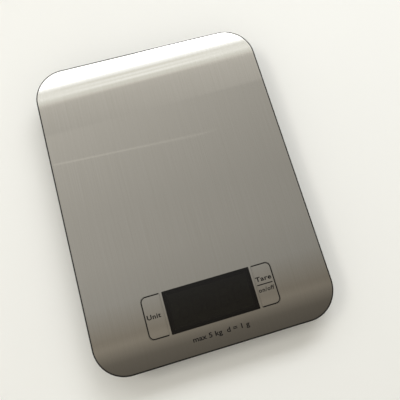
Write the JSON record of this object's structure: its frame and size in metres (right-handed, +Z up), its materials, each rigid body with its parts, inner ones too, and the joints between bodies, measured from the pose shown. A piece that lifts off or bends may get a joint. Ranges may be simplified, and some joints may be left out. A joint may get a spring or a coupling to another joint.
{
  "type": "digital gram scale",
  "caption": "Flat digital gram scale: brushed steel platform with flush display and press keys in a slim black case on sensing feet.",
  "frame": {"origin": "bottom centre of the scale, on the surface that its four feet stand on", "axes": "+Z up, +Y to the rear, away from the display end, +X to the right"},
  "size_m": [0.15, 0.2, 0.0175],
  "materials": {
    "brushed_stainless": "satin",
    "foam_tape": "matte",
    "satin_case_plastic": "satin",
    "textured_case_plastic": "matte",
    "tinted_lens": "gloss",
    "display_glass": "gloss",
    "black_plastic": "satin",
    "contact_rubber": "matte",
    "green_board": "satin",
    "chip_resin": "gloss",
    "ceramic_parts": "satin",
    "cell_sleeve": "satin",
    "plated_contact": "satin",
    "screw_steel": "satin",
    "label_film": "satin",
    "red_insulation": "satin",
    "black_insulation": "satin",
    "white_insulation": "satin",
    "white_plastic": "satin",
    "foot_rubber": "matte",
    "sensor_steel": "satin",
    "gauge_film": "satin"
  },
  "bodies": {
    "housing": {"battery_cell_front": "cell_sleeve", "battery_cell_rear": "cell_sleeve", "battery_lead_black": "black_insulation", "battery_lead_red": "red_insulation", "board_parts": "ceramic_parts", "board_screws": "screw_steel", "bottom_cover": "textured_case_plastic", "bridge_contact": "plated_contact", "controller_chip": "chip_resin", "cover_screws": "screw_steel", "display_lens": "tinted_lens", "lcd_frame": "black_plastic", "lcd_panel": "display_glass", "load_sensor_front_left": "sensor_steel", "load_sensor_front_right": "sensor_steel", "load_sensor_rear_left": "sensor_steel", "load_sensor_rear_right": "sensor_steel", "main_board": "green_board", "negative_contact": "plated_contact", "plate_tape": "foam_tape", "platform_plate": "brushed_stainless", "positive_contact": "plated_contact", "rating_label": "label_film", "retainer_screws": "screw_steel", "sensor_lead_front_left": "white_insulation", "sensor_lead_front_right": "white_insulation", "sensor_lead_rear_left": "white_insulation", "sensor_lead_rear_right": "white_insulation", "sensor_retainer_front_left": "white_plastic", "sensor_retainer_front_right": "white_plastic", "sensor_retainer_rear_left": "white_plastic", "sensor_retainer_rear_right": "white_plastic", "strain_gauge_front_left": "gauge_film", "strain_gauge_front_right": "gauge_film", "strain_gauge_rear_left": "gauge_film", "strain_gauge_rear_right": "gauge_film", "tare_switch_base": "black_plastic", "top_tray": "satin_case_plastic", "unit_switch_base": "black_plastic", "zebra_strips": "contact_rubber"},
    "battery_door": {"battery_door": "textured_case_plastic", "battery_door_latch": "textured_case_plastic"},
    "unit_key": {"unit_key_face": "brushed_stainless", "unit_key_carrier": "black_plastic", "unit_switch_button": "black_plastic"},
    "tare_key": {"tare_key_face": "brushed_stainless", "tare_key_carrier": "black_plastic", "tare_switch_button": "black_plastic"},
    "foot_front_left": {"foot_cap_front_left": "black_plastic", "foot_pad_front_left": "foot_rubber"},
    "foot_front_right": {"foot_cap_front_right": "black_plastic", "foot_pad_front_right": "foot_rubber"},
    "foot_rear_left": {"foot_cap_rear_left": "black_plastic", "foot_pad_rear_left": "foot_rubber"},
    "foot_rear_right": {"foot_cap_rear_right": "black_plastic", "foot_pad_rear_right": "foot_rubber"}
  },
  "joints": [
    {"name": "battery_door_hinge", "type": "hinge", "parent": "housing", "child": "battery_door", "pos_m": [0, 0.03355, 0.003], "axis": [-1, 0, 0], "range_deg": [0, 100], "deforming": ["battery_door_latch"]},
    {"name": "unit_key_press", "type": "slide", "parent": "housing", "child": "unit_key", "axis": [0, 0, -1], "range_m": [0, 0.0004], "stiffness_N_per_m": 400, "springref_m": -0.003},
    {"name": "tare_key_press", "type": "slide", "parent": "housing", "child": "tare_key", "axis": [0, 0, -1], "range_m": [0, 0.0004], "stiffness_N_per_m": 400, "springref_m": -0.003},
    {"name": "foot_front_left_travel", "type": "slide", "parent": "housing", "child": "foot_front_left", "axis": [0, 0, 1], "range_m": [0, 0.0004], "stiffness_N_per_m": 300, "springref_m": -0.012, "deforming": ["load_sensor_front_left"]},
    {"name": "foot_front_right_travel", "type": "slide", "parent": "housing", "child": "foot_front_right", "axis": [0, 0, 1], "range_m": [0, 0.0004], "stiffness_N_per_m": 300, "springref_m": -0.012, "deforming": ["load_sensor_front_right"]},
    {"name": "foot_rear_left_travel", "type": "slide", "parent": "housing", "child": "foot_rear_left", "axis": [0, 0, 1], "range_m": [0, 0.0004], "stiffness_N_per_m": 300, "springref_m": -0.012, "deforming": ["load_sensor_rear_left"]},
    {"name": "foot_rear_right_travel", "type": "slide", "parent": "housing", "child": "foot_rear_right", "axis": [0, 0, 1], "range_m": [0, 0.0004], "stiffness_N_per_m": 300, "springref_m": -0.012, "deforming": ["load_sensor_rear_right"]}
  ]
}
